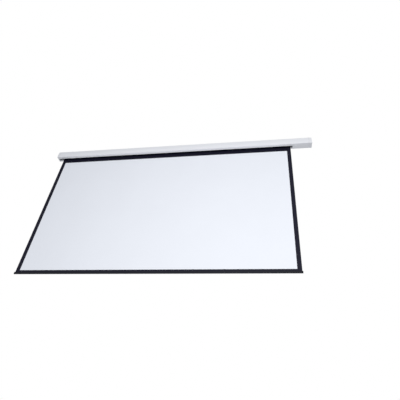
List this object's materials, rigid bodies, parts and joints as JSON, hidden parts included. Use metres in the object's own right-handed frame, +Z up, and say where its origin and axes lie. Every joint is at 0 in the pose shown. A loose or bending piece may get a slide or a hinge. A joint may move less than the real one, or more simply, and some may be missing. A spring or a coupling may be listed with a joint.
{
  "type": "motorized projector screen",
  "caption": "Electric roll-down projector screen with a white wall-mounted housing, a white wide-format picture surface in a black frame, and a black weight bar.",
  "frame": {"origin": "on the wall plane, midway between the two wall brackets, at the height of their wall holes", "axes": "+X along the housing towards the motor end (the viewer's right), -Y into the room, +Z up"},
  "size_m": [2.5255, 0.067, 1.4394],
  "materials": {
    "housing_paint": "fine satin powder coat, cool white",
    "cap_plastic": "moulded, fine texture, matched to the housing",
    "picture_fabric": "matte white coated projection fabric",
    "border_film": "matte black masking",
    "bar_paint": "satin black powder coat",
    "black_plastic": "moulded, satin",
    "tube_aluminium": "mill-finished extrusion",
    "zinc_steel": "zinc plated",
    "motor_steel": "dark satin paint",
    "grey_plastic": "moulded",
    "bush_plastic": "self-lubricating white plastic",
    "yellow_plastic": "moulded",
    "board_green": "coated board",
    "lead_rubber": "matte"
  },
  "bodies": {
    "housing": {"case_shell": "housing_paint", "end_cap_left": "cap_plastic", "end_cap_right": "cap_plastic", "cap_screw_left_1": "zinc_steel", "cap_screw_left_2": "zinc_steel", "cap_screw_left_3": "zinc_steel", "cap_screw_right_1": "zinc_steel", "cap_screw_right_2": "zinc_steel", "cap_screw_right_3": "zinc_steel", "cable_grommet": "lead_rubber", "access_cover": "cap_plastic", "idler_bracket": "zinc_steel", "idler_bracket_screw": "zinc_steel", "idler_pin": "zinc_steel", "motor_bracket": "zinc_steel", "motor_bracket_screw": "zinc_steel", "motor_clip": "zinc_steel", "motor_body": "motor_steel", "motor_head": "black_plastic", "motor_lead": "lead_rubber", "control_box_base": "grey_plastic", "control_box_lid": "grey_plastic", "control_box_screw_left": "zinc_steel", "control_box_screw_right": "zinc_steel", "circuit_board": "board_green", "relay": "black_plastic", "terminal_block": "black_plastic", "capacitor": "motor_steel", "wall_bracket_left": "zinc_steel", "wall_bracket_right": "zinc_steel", "rail_bolt_left": "zinc_steel", "rail_bolt_right": "zinc_steel", "rail_nut_left": "zinc_steel", "rail_nut_right": "zinc_steel", "screen_fabric": "picture_fabric", "black_border": "border_film"},
    "roller": {"roller_tube": "tube_aluminium", "fabric_turns": "border_film", "fabric_spline": "black_plastic", "idler_plug": "black_plastic", "idler_bush": "bush_plastic", "limit_crown": "black_plastic", "output_shaft": "zinc_steel", "drive_wheel": "black_plastic"},
    "bottom_bar": {"weight_bar": "bar_paint", "fabric_hem": "border_film", "hem_rod": "zinc_steel", "bar_cap_left": "black_plastic", "bar_cap_right": "black_plastic"},
    "upper_limit": {"upper_limit_screw": "yellow_plastic"},
    "lower_limit": {"lower_limit_screw": "bush_plastic"}
  },
  "joints": [
    {"name": "screen_drop", "type": "slide", "parent": "housing", "child": "bottom_bar", "axis": [0, 0, 1], "range_m": [0, 1.3159], "deforming": ["screen_fabric", "black_border"]},
    {"name": "roller_spin", "type": "hinge", "parent": "housing", "child": "roller", "pos_m": [0, -0.03425, -0.06407], "axis": [1, 0, 0], "range_deg": [0, 2896]},
    {"name": "upper_limit_turn", "type": "hinge", "parent": "housing", "child": "upper_limit", "pos_m": [1.1671, -0.03425, -0.08107], "axis": [0, 0, 1], "continuous": true},
    {"name": "lower_limit_turn", "type": "hinge", "parent": "housing", "child": "lower_limit", "pos_m": [1.1791, -0.03425, -0.08107], "axis": [0, 0, 1], "continuous": true}
  ],
  "couplings": [
    {"joint": "roller_spin", "follows": "screen_drop", "rad_per_m": 38.375}
  ]
}
